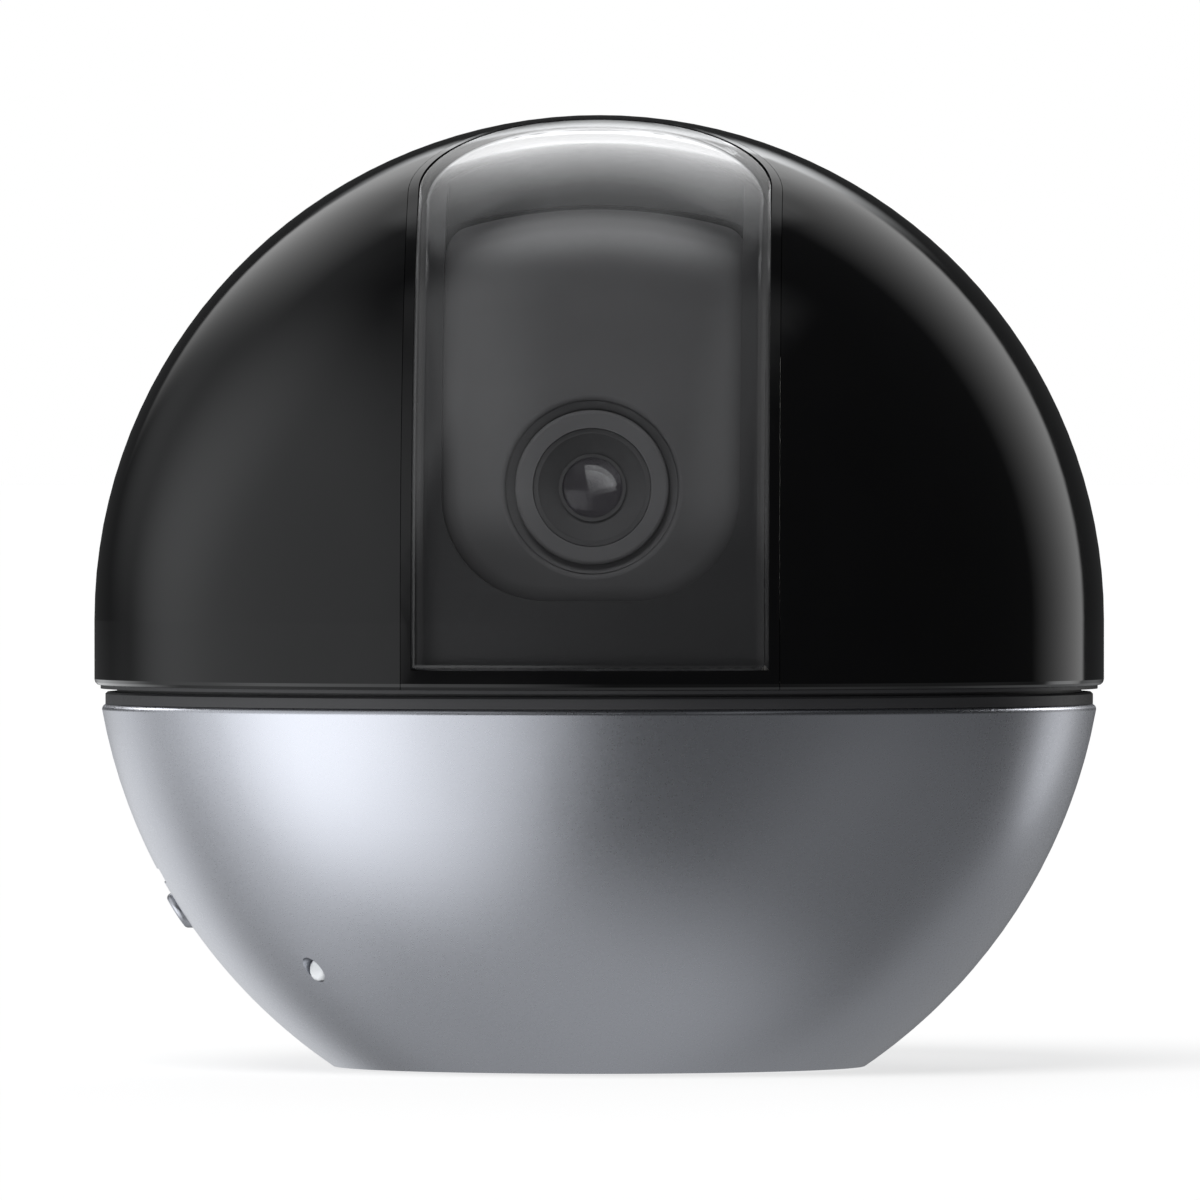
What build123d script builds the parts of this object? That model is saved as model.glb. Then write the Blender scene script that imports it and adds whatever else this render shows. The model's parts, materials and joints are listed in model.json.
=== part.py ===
"""Indoor pan and tilt security camera, as an assembly of separate pieces.

Millimetres, +Z up, the lens looks along -Y. The origin is on the table, under the pan axis.
"""

import os
from math import atan2, cos, hypot, pi, radians, sin, sqrt, tan

from build123d import *

os.makedirs("parts", exist_ok=True)

# Dome
dome_r = 48.0
dome_skirt = 6.2
dome_wall = 2.2
dome_edge = 0.6

# Bowl: its side is one arc from the foot's edge to the rim
bowl_h = 34.45
foot_r = 25.3
bowl_side_r = 52.2
bowl_wall = 2.0
bowl_edge = 0.5
rim_step = 0.65

# Seam between bowl and head: the deck's lip stands round the turntable, under the ledge that carries the dome
deck_rise = 0.1
lip_h = 1.05
lip_t = 0.8
lip_step = 0.4
lip_edge = 0.2
seam_gap = 0.3
ledge_t = 0.3
ledge_step = 0.6
plate_t = 2.0

# Window: a strip with straight sides and rounded upper corners that ends on top of the dome
window_half = 16.6
window_lift = 1.85
window_t = 2.6
window_edge = 0.5
window_end = -6.9
window_corner = 12.0
bezel_w = 1.0
flange_t = 0.9
flange_w = 0.7

# Tilting drum, its axis and its crowned face
tilt_forward = 10.0
tilt_rise = 12.45
face_r = 26.0
face_margin = 2.6
face_t = 4.2
face_drop = 10.8
face_corner = 10.0
face_back = 4.0
face_edge = 2.6
crown_r = 45.0
crown_over = 4.5
mask_over = 0.4
core_margin = 1.3
core_wall = 1.6
core_split = 4.0
port_r = 7.95
port_edge = 0.4

# Lens: its radii, and how far each piece is sunk behind the drum's face
holder_r = 7.1
holder_sunk = 1.4
barrel_r = 5.4
barrel_sunk = 1.7
barrel_lip = 0.45
barrel_step = 0.25
cone_depth = 1.5
glass_r = 2.75
glass_ring_w = 0.35
glass_ring_h = 0.3
glass_sunk = 2.6
board_front = 6.0
sensor_t = 0.9
filter_t = 0.5
sensor_side = 7.0
sensor_board_w = 20.0
sensor_board_h = 17.0

# Trunnions, bushes and yoke
trunnion_r = 3.0
bush_r = 4.5
bush_flange_r = 6.0
bush_flange_t = 0.5
arm_gap = 1.2
arm_t = 2.0
arm_head_r = 8.0
yoke_foot = 6.5
yoke_length = 22.0

# Gears: both pairs have the same module and the same pinion
gear_module = 0.6
pan_teeth = 48
tilt_teeth = 40
pinion_teeth = 12
gear_t = 3.0
backlash = 0.25
pressure_angle = 20.0
tip_factor = 0.8
root_factor = 1.1
mesh_gap = 0.3

# Small can steppers
motor_r = 10.0
motor_l = 11.0
motor_ear = 13.5
ear_r = 3.2
ear_t = 0.8
motor_shaft_r = 1.5
shaft_depth = 7.0
motor_boss_r = 4.5
motor_boss_t = 0.9
motor_outlet = 3.0

# Pan spindle
spindle_r = 9.0
cable_r = 6.0
bush_wall = 2.5
bush_drop = 1.6
retainer_t = 0.8
retainer_r = 11.5
groove = 0.7
floor_gap = 1.0
washer_w = 7.0

# Base plate, foot and tripod insert
foot_proud = 0.15
plate_lift = 0.1
plate_top = 3.6
foot_w = 5.8
foot_margin = 0.9
foot_t = 1.0
insert_r = 4.2
thread_r = 2.55
insert_l = 7.0
insert_wall = 1.5

# Boards
board_t = 1.6
board_gap = 2.11
led_inset = 1.0
board_lift = 1.6
board_hole = 6.6
board_screw_in = 3.5
tongue_w = 8.0
tongue_over = 0.5
side_board_w = 22.0
card_z = 18.3
card_w = 11.6
card_slot = 1.3
card_socket_t = 1.4
card_depth = 14.0
card_stop = 1.0

# Reset button on the bowl's left side
button_r = 1.65
button_z = 14.9
button_proud = 0.63
button_edge = 0.45
button_travel = 0.5
button_flange = 0.8
guide_r = 2.6
guide_l = 2.31

# Status light on the bowl's front left
light_angle = 47.0
light_z = 9.9
light_r = 1.05
light_sunk = 0.25
light_depth = 6.0

# Power inlet at the back
socket_w = 7.6
socket_l = 5.6
socket_h = 2.6
inlet_w = 8.8
inlet_h = 3.8
plug_stop = 1.0

# Speaker behind the back of the bowl
speaker_drop = 11.0
speaker_r = 9.0
speaker_t = 4.0
speaker_set = 2.3
gasket_w = 1.4
magnet_r = 5.5
magnet_t = 3.0
grille_hole = 0.6
grille_pitch = 2.3
grille_rings = 3

# Screws and posts
screw_r = 1.0
screw_head_r = 2.0
screw_head_t = 1.2
post_r = 2.6
small_post_r = 2.0
post_depth = 6.0
post_gap = 0.22
boss_inset = 2.3

# Clearances
running = 0.05
seat = 0.03
clear = 0.3
parting = 0.06

# Tilting drum, within the window's width
face_half = window_half - face_margin
core_half = face_half - core_margin
core_r = face_r - face_t
holder_front = face_r - holder_sunk
barrel_front = face_r - barrel_sunk
glass_front = face_r - glass_sunk

# Gear centres, and how far the tilt motor and the screw heads under it reach below the tilt axis
pan_centre = gear_module * (pan_teeth + pinion_teeth) / 2
tilt_centre = gear_module * (tilt_teeth + pinion_teeth) / 2
pan_tip = gear_module * (pan_teeth / 2 + tip_factor)
tilt_pinion_angle = -20.0
tilt_ear_angle = 50.0
tilt_drop = -tilt_centre * sin(radians(tilt_pinion_angle))
ear_drop = motor_ear * sin(radians(tilt_ear_angle)) + ear_r
drive_drop = tilt_drop + ear_drop + plate_t + screw_head_t + clear

# Heights, from the table up
rim_r = dome_r - rim_step
bowl_z = foot_proud
rim_z = bowl_z + bowl_h
deck_z = rim_z + deck_rise
head_z = deck_z + seam_gap
lip_z = deck_z + lip_h
ledge_z = lip_z + seam_gap
dome_z = ledge_z + ledge_t
dome_c = dome_z + dome_skirt
window_low = dome_z + window_lift
table_z = head_z + plate_t
tilt_z = dome_c + tilt_rise
tilt_y = -tilt_forward
floor_z = tilt_z - max(core_r + floor_gap, drive_drop)
deck_floor_z = floor_z - plate_t - seam_gap
deck_under_z = deck_floor_z - plate_t
gear_top_z = deck_under_z - bush_drop - clear / 2
gear_low_z = gear_top_z - gear_t
retainer_low_z = gear_low_z - retainer_t
spindle_low_z = retainer_low_z - retainer_t
motor_face_z = spindle_low_z - motor_boss_t - clear
board_z = plate_top + board_lift
board_top_z = board_z + board_t

# Across the seam
lip_out = rim_r - lip_step
lip_in = lip_out - lip_t
table_rim_r = lip_in - clear

# Across the head
arm_in = face_half + arm_gap
arm_out = arm_in + arm_t
gear_in = arm_out + 2 * clear
gear_out = gear_in + gear_t
tilt_motor_x = gear_out + motor_boss_t + clear
dish_r = hypot(arm_out + yoke_foot, yoke_length / 2 - tilt_y) + 2 * clear
dish_out = dish_r + plate_t

# Head layout
tilt_pinion_y = tilt_y + tilt_centre * cos(radians(tilt_pinion_angle))
tilt_pinion_z = tilt_z - tilt_drop
dome_screw_angles = (90, 205, 335)
dome_boss_r = dome_r - dome_wall - boss_inset
dome_boss_h = 8.0
yoke_x = arm_out + yoke_foot / 2
yoke_front = tilt_y - yoke_length / 3
yoke_back = tilt_y + yoke_length / 3
yoke_spots = [(-yoke_x, yoke_front), (-yoke_x, yoke_back), (yoke_x, yoke_front), (yoke_x, yoke_back)]

# Centre of the bowl's side arc, from its two ends and its radius
bowl_dx = rim_r - foot_r
bowl_chord = hypot(bowl_dx, bowl_h)
bowl_sag = sqrt(bowl_side_r**2 - (bowl_chord / 2) ** 2)
bowl_cx = (foot_r + rim_r) / 2 - bowl_sag * bowl_h / bowl_chord
bowl_cz = bowl_z + bowl_h / 2 + bowl_sag * bowl_dx / bowl_chord


def bowl_r(z, inset=0.0):
    """Radius of the bowl's side at height z, or of a surface inset from it."""
    return bowl_cx + sqrt((bowl_side_r - inset) ** 2 - (z - bowl_cz) ** 2)


# Base layout: the clamping screws pass just outside the pan gear, the foot ring lies in the bowl's mouth
clamp_r = pan_tip + post_gap + post_r
clamp_angles = (90, 180, 270)
foot_out = bowl_r(bowl_z, bowl_wall) - foot_margin
foot_in = foot_out - foot_w
board_r = bowl_r(board_z, bowl_wall) - board_gap
tongue_l = board_r + tongue_over
board_screw_r = board_r - board_screw_in
board_screw_angles = (45, 135, 250)
side_board_y = side_board_w / 2 - small_post_r
guide_end = bowl_r(button_z, bowl_wall) - guide_l
speaker_z = deck_under_z - speaker_drop

# Planes and axes that several pieces share
tilt_origin = (0, tilt_y, tilt_z)
front_plane = Plane(origin=tilt_origin, x_dir=(1, 0, 0), z_dir=(0, -1, 0))
lens_plane = Plane(origin=tilt_origin, x_dir=(0, -1, 0), z_dir=(-1, 0, 0))
tilt_axis = Axis(tilt_origin, (1, 0, 0))
lens_axis = Axis(tilt_origin, (0, -1, 0))
far = 2 * (dome_c + dome_r)


def save(piece, name):
    """Label a finished piece and write it."""
    piece.part.label = name
    export_step(piece.part, f"parts/{name}.step")


def ring(plane, outer, inner, height, mode=Mode.ADD):
    """Extrude a ring from a plane."""
    with BuildSketch(plane) as section:
        Circle(outer)
        Circle(inner, mode=Mode.SUBTRACT)
    extrude(section.sketch, amount=height, mode=mode)


def disc(plane, radius, height, mode=Mode.ADD):
    """Extrude a round disc from a plane."""
    with BuildSketch(plane) as section:
        Circle(radius)
    extrude(section.sketch, amount=height, mode=mode)


def block(plane, width, length, height, mode=Mode.ADD):
    """Extrude a rectangle, centred on a plane's origin."""
    with BuildSketch(plane) as section:
        Rectangle(width, length)
    extrude(section.sketch, amount=height, mode=mode)


def screw(plane, length):
    """Pan head screw: the plane is under its head, and its shank runs along the normal."""
    disc(plane.offset(-screw_head_t), screw_head_r, screw_head_t)
    disc(plane, screw_r, length)


def polar(radius, angle, z):
    """Point at a radius and an angle from +X round the pan axis."""
    return (radius * cos(radians(angle)), radius * sin(radians(angle)), z)


def up(point):
    """Plane at a point, facing up."""
    return Plane(origin=point)


def side(x, y, z):
    """Plane at a point, facing along +X, with +Y to its right."""
    return Plane(origin=(x, y, z), x_dir=(0, 1, 0), z_dir=(1, 0, 0))


def dome_section(outer, inner, low, edge=0.0):
    """Revolve a dome shell, with its skirt down to a height and its outer edge broken in three flats."""
    corner = [(outer, low)]
    if edge:
        turns = [radians(turn) for turn in (90, 60, 30, 0)]
        corner = [(outer - edge * (1 - cos(turn)), low + edge * (1 - sin(turn))) for turn in turns]
    with BuildSketch(Plane.XZ) as section:
        with BuildLine():
            Polyline((inner, dome_c), (inner, low), *corner, (outer, dome_c))
            CenterArc((0, dome_c), outer, 0, 90)
            Line((0, dome_c + outer), (0, dome_c + inner))
            CenterArc((0, dome_c), inner, 0, 90)
        make_face()
    revolve(section.sketch, axis=Axis.Z)


def tongue(half, low, mode):
    """Upright prism on the window's plan, or a wider or narrower one, from a height to above the dome."""
    grow = half - window_half
    with BuildSketch(Plane.XY.offset(low)) as plan:
        with Locations((0, window_end + grow - far / 2)):
            RectangleRounded(2 * half, far, window_corner + grow)
    extrude(plan.sketch, amount=far, mode=mode)


def bowl_body(inset, edge=0.0, mode=Mode.ADD):
    """Body inside the bowl's side, or inside a surface inset from it."""
    with BuildSketch(Plane.XZ) as section:
        with BuildLine():
            low = (bowl_r(bowl_z, inset), bowl_z)
            middle = (bowl_r(rim_z / 2, inset), rim_z / 2)
            top = (bowl_r(rim_z, inset), rim_z)
            ThreePointArc(low, middle, top)
            Polyline(top, (0, rim_z), (0, bowl_z), low)
        make_face()
        if edge:
            fillet(section.vertices().sort_by(Axis.X)[-1], edge)
    revolve(section.sketch, axis=Axis.Z, mode=mode)


def barrel(radius, half, mode=Mode.ADD):
    """Crowned barrel about the tilt axis."""
    end = radius - crown_r + sqrt(crown_r**2 - half**2)
    with BuildSketch(front_plane) as section:
        with BuildLine():
            ThreePointArc((-half, end), (0, radius), (half, end))
            Polyline((half, end), (half, 0), (-half, 0), (-half, end))
        make_face()
    revolve(section.sketch, axis=tilt_axis, mode=mode)


def face_outline(grow, mode):
    """Prism on the outline of the drum's face, or on a larger or smaller one, from behind the face to the front."""
    with BuildSketch(front_plane.offset(-face_back)) as outline:
        with Locations((0, (face_r * 2 - face_drop) / 2)):
            Rectangle(2 * (face_half + grow), face_r * 2 + face_drop + 2 * grow)
        fillet(outline.vertices().group_by(Axis.Y)[0], face_corner + grow)
    extrude(outline.sketch, amount=far, mode=mode)


def toothed(plane, teeth, start, bore, height):
    """Spur gear with straight flanks, its first tooth at the start angle."""
    pitch_r = gear_module * teeth / 2
    tip_r = pitch_r + tip_factor * gear_module
    root_r = pitch_r - root_factor * gear_module
    half = pi * gear_module / 4 - backlash / 2
    slope = tan(radians(pressure_angle))
    half_tip = half - (tip_r - pitch_r) * slope
    half_root = half + (pitch_r - root_r) * slope
    sunk_r = root_r - gear_module / 2
    with BuildSketch(plane) as section:
        Circle(root_r)
        with PolarLocations(0, teeth, start_angle=start):
            Polygon(
                (sunk_r, -half_root),
                (root_r, -half_root),
                (tip_r, -half_tip),
                (tip_r, half_tip),
                (root_r, half_root),
                (sunk_r, half_root),
            )
        if bore:
            Circle(bore, mode=Mode.SUBTRACT)
    extrude(section.sketch, amount=height)


def stepper(face, ear_angle):
    """Can stepper behind a plane: can, eared plate, boss and wire outlet, bored for its shaft."""
    disc(face, motor_r, -motor_l)
    with BuildSketch(face) as ears:
        with PolarLocations(motor_ear, 2, start_angle=ear_angle):
            Circle(ear_r)
        make_hull()
        with PolarLocations(motor_ear, 2, start_angle=ear_angle):
            Circle(screw_r + seat, mode=Mode.SUBTRACT)
    extrude(ears.sketch, amount=-ear_t)
    disc(face, motor_boss_r, motor_boss_t)
    with BuildSketch(face.offset(-motor_l)) as outlet:
        with PolarLocations(motor_r, 1, start_angle=ear_angle - 90):
            Rectangle(motor_outlet, motor_r)
    extrude(outlet.sketch, amount=2 * motor_outlet)
    bore_l = motor_boss_t + shaft_depth
    disc(face.offset(motor_boss_t), motor_shaft_r + running, -bore_l, Mode.SUBTRACT)


def ear_points(centre, across, angle):
    """The two ear holes of a stepper, in the plane that two directions span."""
    run = motor_ear * cos(radians(angle))
    rise = motor_ear * sin(radians(angle))
    return [(centre + run, across + rise), (centre - run, across - rise)]


pan_ears = ear_points(pan_centre, 0, 90)
tilt_ears = ear_points(tilt_pinion_y, tilt_pinion_z, tilt_ear_angle)

# Bowl: the space inside it leaves a guide standing for the reset button
with BuildPart() as bowl_space:
    bowl_body(bowl_wall)
    disc(side(-guide_end, 0, button_z), guide_r, -bowl_wall - guide_r, Mode.SUBTRACT)

# Speaker's plane: square to the bowl's inner face at the back, facing out
speaker_tilt = atan2(bowl_cz - speaker_z, bowl_r(speaker_z) - bowl_cx)
speaker_out = (0, cos(speaker_tilt), -sin(speaker_tilt))
speaker_reach = bowl_side_r - bowl_wall
speaker_y = bowl_cx + speaker_reach * cos(speaker_tilt)
speaker_plane = Plane(
    origin=(0, speaker_y, bowl_cz - speaker_reach * sin(speaker_tilt)),
    x_dir=(1, 0, 0),
    z_dir=speaker_out,
)

# Status light's plane: on its level axis, facing out from the pan axis
light_out = (-sin(radians(light_angle)), -cos(radians(light_angle)), 0)
light_wall = bowl_r(light_z) - light_sunk
light_plane = Plane(
    origin=(light_wall * light_out[0], light_wall * light_out[1], light_z),
    x_dir=(0, 0, 1),
    z_dir=light_out,
)

inlet_z = board_top_z + socket_h / 2
inlet_plane = Plane(origin=(0, tongue_l, inlet_z), x_dir=(1, 0, 0), z_dir=(0, 1, 0))

with BuildPart() as bowl:
    bowl_body(0, bowl_edge)
    add(bowl_space.part, mode=Mode.SUBTRACT)
    # Reset button's bore and the card slot, on the left
    disc(side(-guide_end + clear, 0, button_z), button_r + running, -far, Mode.SUBTRACT)
    block(side(-guide_end, 0, card_z), card_w, card_slot, -far, Mode.SUBTRACT)
    # Status light's hole and the power inlet
    disc(light_plane.offset(-light_depth), light_r + 2 * running, far, Mode.SUBTRACT)
    with BuildSketch(inlet_plane):
        RectangleRounded(inlet_w, inlet_h, inlet_h / 3)
    extrude(amount=far, mode=Mode.SUBTRACT)
    # Speaker grille: rings of round holes
    with BuildSketch(speaker_plane.offset(-bowl_wall)):
        Circle(grille_hole)
        for number in range(1, grille_rings + 1):
            with PolarLocations(number * grille_pitch, 6 * number):
                Circle(grille_hole)
    extrude(amount=far, mode=Mode.SUBTRACT)
save(bowl, "bowl")

# Base plate: its edge lies on the bowl's inner face, and it carries the foot and the board
plate_z = bowl_z + plate_lift
plate_inset = bowl_wall + plate_lift
with BuildPart() as base_plate:
    with BuildSketch(Plane.XZ):
        Polygon(
            (insert_r + seat, plate_z),
            (foot_in - plate_lift, plate_z),
            (foot_in - plate_lift, foot_t),
            (foot_out + plate_lift, foot_t),
            (foot_out + plate_lift, plate_z),
            (bowl_r(plate_z, plate_inset), plate_z),
            (bowl_r(plate_top, plate_inset), plate_top),
            (insert_r + insert_wall, plate_top),
            (insert_r + insert_wall, plate_z + insert_l),
            (insert_r + seat, plate_z + insert_l),
        )
    revolve(axis=Axis.Z)
    for angle in board_screw_angles:
        disc(up(polar(board_screw_r, angle, plate_top)), small_post_r, board_lift)
        post_top = up(polar(board_screw_r, angle, board_z))
        disc(post_top, screw_r + seat, -board_lift - plate_t, Mode.SUBTRACT)
    for angle in clamp_angles:
        clamp_hole = up(polar(clamp_r, angle, 0))
        disc(clamp_hole, screw_r + clear, far, Mode.SUBTRACT)
        disc(clamp_hole, screw_head_r + clear, foot_t + screw_head_t, Mode.SUBTRACT)
save(base_plate, "base_plate")

with BuildPart() as foot_ring:
    ring(Plane.XY, foot_out, foot_in, foot_t)
save(foot_ring, "foot_ring")

with BuildPart() as tripod_insert:
    ring(Plane.XY.offset(plate_z), insert_r, thread_r, insert_l)
save(tripod_insert, "tripod_insert")

with BuildPart() as base_screws:
    clamp_z = foot_t + screw_head_t
    for angle in clamp_angles:
        screw(up(polar(clamp_r, angle, clamp_z)), plate_top + post_depth - clamp_z)
save(base_screws, "base_screws")

# Main board, with a tongue to the back for the power inlet
with BuildPart() as main_board:
    with BuildSketch(Plane.XY.offset(board_z)):
        Circle(board_r)
        with Locations((0, tongue_l / 2)):
            Rectangle(2 * tongue_w, tongue_l)
        Circle(board_hole, mode=Mode.SUBTRACT)
        for angle in clamp_angles:
            with Locations(polar(clamp_r, angle, 0)):
                Circle(post_r + clear, mode=Mode.SUBTRACT)
        for angle in board_screw_angles:
            with Locations(polar(board_screw_r, angle, 0)):
                Circle(screw_r + seat, mode=Mode.SUBTRACT)
    extrude(amount=board_t)
save(main_board, "main_board")

with BuildPart() as board_screws:
    for angle in board_screw_angles:
        head_plane = Plane(origin=polar(board_screw_r, angle, board_top_z), z_dir=(0, 0, -1))
        screw(head_plane, board_t + board_lift)
save(board_screws, "board_screws")

processor_spot = (-9.5, -10.0)
processor_side = 10.0
processor_t = 1.3
with BuildPart() as processor:
    block(up((*processor_spot, board_top_z)), processor_side, processor_side, processor_t)
    chamfer(processor.faces().sort_by(Axis.Z)[-1].edges(), processor_t / 4)
save(processor, "processor")

shield_spot = (11.0, -14.0)
shield_l = 14.0
shield_w = 11.0
shield_t = 1.8
with BuildPart() as wifi_shield:
    block(up((*shield_spot, board_top_z)), shield_l, shield_w, shield_t)
    fillet(wifi_shield.edges().filter_by(Axis.Z), shield_t / 2)
    fillet(wifi_shield.faces().sort_by(Axis.Z)[-1].edges(), shield_t / 6)
save(wifi_shield, "wifi_shield")

# Plug headers on the main board, each open at its top
header_spots = ((-18.5, 8.5), (-8.5, 20.0), (9.5, 19.0))
header_w = 8.0
header_d = 3.4
header_h = 4.0
header_wall = 0.6
with BuildPart() as board_connectors:
    for spot in header_spots:
        block(up((*spot, board_top_z)), header_w, header_d, header_h)
        pocket = up((*spot, board_top_z + header_wall))
        walls = 2 * header_wall
        block(pocket, header_w - walls, header_d - walls, header_h, Mode.SUBTRACT)
save(board_connectors, "board_connectors")

# Power socket: a shell with a tongue inside, its mouth to the back
socket_wall = 0.4
with BuildPart() as power_socket:
    mouth = inlet_plane.offset(socket_l / 2)
    with BuildSketch(mouth):
        RectangleRounded(socket_w, socket_h, socket_h / 4)
    extrude(amount=-socket_l)
    with BuildSketch(mouth):
        RectangleRounded(socket_w - 2 * socket_wall, socket_h - 2 * socket_wall, socket_h / 6)
    extrude(amount=-socket_l + socket_wall, mode=Mode.SUBTRACT)
    block(mouth.offset(-socket_l), socket_w / 2, socket_wall, socket_l - plug_stop)
save(power_socket, "power_socket")

# Status light: an upright package on the board and a clear rod to the bowl's wall
led_side = 4.0
led_out_r = board_r - led_inset
led_h = light_z - board_top_z + light_r
with BuildPart() as status_led:
    led_spot = polar(led_out_r - led_side / 2, 270 - light_angle, board_top_z)
    led_plane = Plane(origin=led_spot, x_dir=light_out, z_dir=(0, 0, 1))
    block(led_plane, led_side, led_side, led_h)
    disc(light_plane.offset(led_out_r - light_wall), light_r, light_r / 2)
save(status_led, "status_led")

pipe_flange_r = 1.8
pipe_flange_t = 0.8
with BuildPart() as light_pipe:
    disc(light_plane, light_r, led_out_r + light_r / 2 + clear - light_wall)
    flange_wall = bowl_r(light_z - pipe_flange_r, bowl_wall) - clear
    disc(light_plane.offset(flange_wall - light_wall), pipe_flange_r, -pipe_flange_t)
    fillet(light_pipe.edges().sort_by(Axis(light_plane.origin, light_out))[-1], light_r / 3)
save(light_pipe, "light_pipe")

# Side board under the card slot: the socket on top of it, the reset switch under it
side_board_top = card_z - card_socket_t / 2
side_board_low = side_board_top - board_t
side_board_x = button_flange + button_travel + 2 * clear - guide_end
side_board_end = -clamp_r - post_r - 2 * clear
side_post_x = side_board_end - small_post_r
with BuildPart() as side_board:
    with BuildSketch(Plane.XY.offset(side_board_low)):
        with Locations(((side_board_x + side_board_end) / 2, 0)):
            Rectangle(side_board_end - side_board_x, side_board_w)
        with Locations((side_post_x, -side_board_y), (side_post_x, side_board_y)):
            Circle(screw_r + seat, mode=Mode.SUBTRACT)
    extrude(amount=board_t)
save(side_board, "side_board")

with BuildPart() as side_board_screws:
    for y in (-side_board_y, side_board_y):
        screw(up((side_post_x, y, side_board_low)), board_t + post_depth - clear)
save(side_board_screws, "side_board_screws")

socket_skin = 0.3
socket_half = card_w / 2 + 2 * socket_skin
socket_x = -sqrt(bowl_r(side_board_top, bowl_wall + clear) ** 2 - socket_half**2)
with BuildPart() as card_socket:
    card_mouth = side(socket_x, 0, card_z)
    block(card_mouth, 2 * socket_half, card_socket_t, card_depth)
    card_gap = card_socket_t - 2 * socket_skin
    block(card_mouth, card_w, card_gap, card_depth - card_stop, Mode.SUBTRACT)
save(card_socket, "card_socket")

switch_w = 6.0
switch_l = 4.0
switch_stem_r = 1.1
switch_face = guide_end - button_flange - button_travel - 2 * clear
with BuildPart() as reset_switch:
    switch_h = side_board_low - button_z + switch_w / 4
    switch_mid = side_board_low - switch_h / 2
    block(side(-switch_face, 0, switch_mid), switch_w, switch_h, switch_l)
    disc(side(-switch_face, 0, button_z), switch_stem_r, -clear)
save(reset_switch, "reset_switch")

# Reset button: it slides level, and its face follows the bowl's side and stands a little proud of it
with BuildPart() as reset_button:
    disc(side(button_flange - guide_end, 0, button_z), button_r, -far)
    bowl_body(-button_proud, mode=Mode.INTERSECT)
    fillet(reset_button.faces().sort_by(Axis.X)[0].edges(), button_edge)
    disc(side(-guide_end + clear / 3, 0, button_z), guide_r - clear, button_flange)
save(reset_button, "reset_button")

# Speaker: basket, cone and magnet on one axis, with a soft ring up to the wall
speaker_axis = Axis(speaker_plane.origin, speaker_out)
speaker_section = Plane(
    origin=speaker_plane.origin,
    x_dir=(1, 0, 0),
    z_dir=(0, sin(speaker_tilt), cos(speaker_tilt)),
)
with BuildPart() as speaker_gasket:
    ring(speaker_plane.offset(-speaker_set), speaker_r, speaker_r - gasket_w, speaker_set)
    add(bowl_space.part, mode=Mode.INTERSECT)
save(speaker_gasket, "speaker_gasket")

cone_t = 0.4
basket_t = 0.9
neck_r = magnet_r * 0.75
with BuildPart() as speaker_basket:
    with BuildSketch(speaker_section):
        Polygon(
            (speaker_r - gasket_w, -speaker_set),
            (speaker_r, -speaker_set),
            (speaker_r, -speaker_set - 2 * basket_t),
            (magnet_r + basket_t, -speaker_set - speaker_t),
            (neck_r, -speaker_set - speaker_t),
            (neck_r, -speaker_set - speaker_t + basket_t),
            (magnet_r, -speaker_set - speaker_t + basket_t),
            (speaker_r - basket_t, -speaker_set - basket_t),
            (speaker_r - gasket_w, -speaker_set - basket_t),
        )
    revolve(axis=speaker_axis)
save(speaker_basket, "speaker_basket")

cone_rim = speaker_r - gasket_w - seat
cone_deep = speaker_t / 2
with BuildPart() as speaker_cone:
    with BuildSketch(speaker_section):
        Polygon(
            (0, -speaker_set - cone_deep / 2),
            (neck_r, -speaker_set - cone_deep),
            (cone_rim, -speaker_set - cone_t),
            (cone_rim, -speaker_set - 2 * cone_t),
            (neck_r - seat, -speaker_set - cone_deep - cone_t),
            (neck_r - seat, -speaker_set - speaker_t),
            (neck_r - cone_t, -speaker_set - speaker_t),
            (neck_r - cone_t, -speaker_set - cone_deep - cone_t),
            (0, -speaker_set - cone_deep / 2 - cone_t),
        )
    revolve(axis=speaker_axis)
save(speaker_cone, "speaker_cone")

with BuildPart() as speaker_magnet:
    disc(speaker_plane.offset(-speaker_set - speaker_t), magnet_r, -magnet_t)
save(speaker_magnet, "speaker_magnet")

# Deck: closes the bowl, with a sunk floor, the pan bush and posts on its underside
deck_inner_r = dish_out + clear
deck_wall_r = deck_inner_r + plate_t
deck_rim_low = deck_z - plate_t
deck_rim_r = bowl_r(deck_rim_low, bowl_wall) - clear / 2
with BuildPart() as deck:
    with BuildSketch(Plane.XZ) as deck_section:
        Polygon(
            (spindle_r + running, deck_floor_z),
            (deck_inner_r, deck_floor_z),
            (deck_inner_r, deck_z),
            (lip_in, deck_z),
            (lip_in, lip_z),
            (lip_out, lip_z),
            (lip_out, rim_z),
            (deck_rim_r, rim_z),
            (deck_rim_r, deck_rim_low),
            (deck_wall_r, deck_rim_low),
            (deck_wall_r, deck_under_z),
            (spindle_r + bush_wall, deck_under_z),
            (spindle_r + bush_wall, deck_under_z - bush_drop),
            (spindle_r + running, deck_under_z - bush_drop),
        )
        chamfer(deck_section.vertices().group_by(Axis.Y)[-1].sort_by(Axis.X)[-1], lip_edge)
    revolve(axis=Axis.Z)
    for angle in clamp_angles:
        post_end = up(polar(clamp_r, angle, plate_top))
        disc(post_end, post_r, deck_under_z - plate_top)
        disc(post_end, screw_r + seat, post_depth + clear, Mode.SUBTRACT)
    for x, y in pan_ears:
        disc(up((x, y, motor_face_z)), post_r, deck_under_z - motor_face_z)
        disc(up((x, y, motor_face_z)), screw_r + seat, post_depth, Mode.SUBTRACT)
    for y in (-side_board_y, side_board_y):
        post_end = up((side_post_x, y, side_board_top))
        disc(post_end, small_post_r, deck_under_z - side_board_top)
        disc(post_end, screw_r + seat, post_depth, Mode.SUBTRACT)
save(deck, "deck")

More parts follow.
